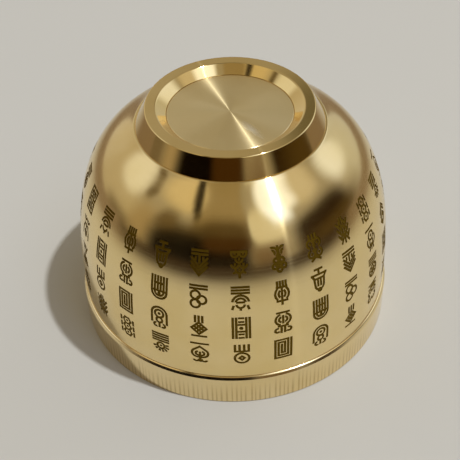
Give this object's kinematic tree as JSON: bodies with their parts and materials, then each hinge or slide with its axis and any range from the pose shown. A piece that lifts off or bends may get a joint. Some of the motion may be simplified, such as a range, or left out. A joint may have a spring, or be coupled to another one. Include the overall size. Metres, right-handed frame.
{
  "type": "treasure bowl",
  "caption": "Deep round brass bowl, stored mouth down, with a banded rim, a tapered ring foot and an inset faced disc in the foot's coned recess.",
  "frame": {"origin": "centre of the mouth plane, which is the bottom of the object as stored, mouth down", "axes": "+Z along the axis of turning, from the mouth towards the foot; the bowl is the same all round, and +X is any radius"},
  "size_m": [0.075, 0.075, 0.0564],
  "materials": {
    "polished_brass": "polished, with faint turning marks and rows of small engraved, darkened motifs",
    "rim_brass": "polished, with fine upright rub marks near the lip",
    "mirror_brass": "mirror polished wall with a finely turned face",
    "faced_brass": "faced on a lathe, with fine circular marks"
  },
  "bodies": {
    "root": {"bowl_shell": "polished_brass", "rim_band": "rim_brass", "foot_ring": "mirror_brass", "base_disc": "faced_brass"}
  },
  "joints": []
}
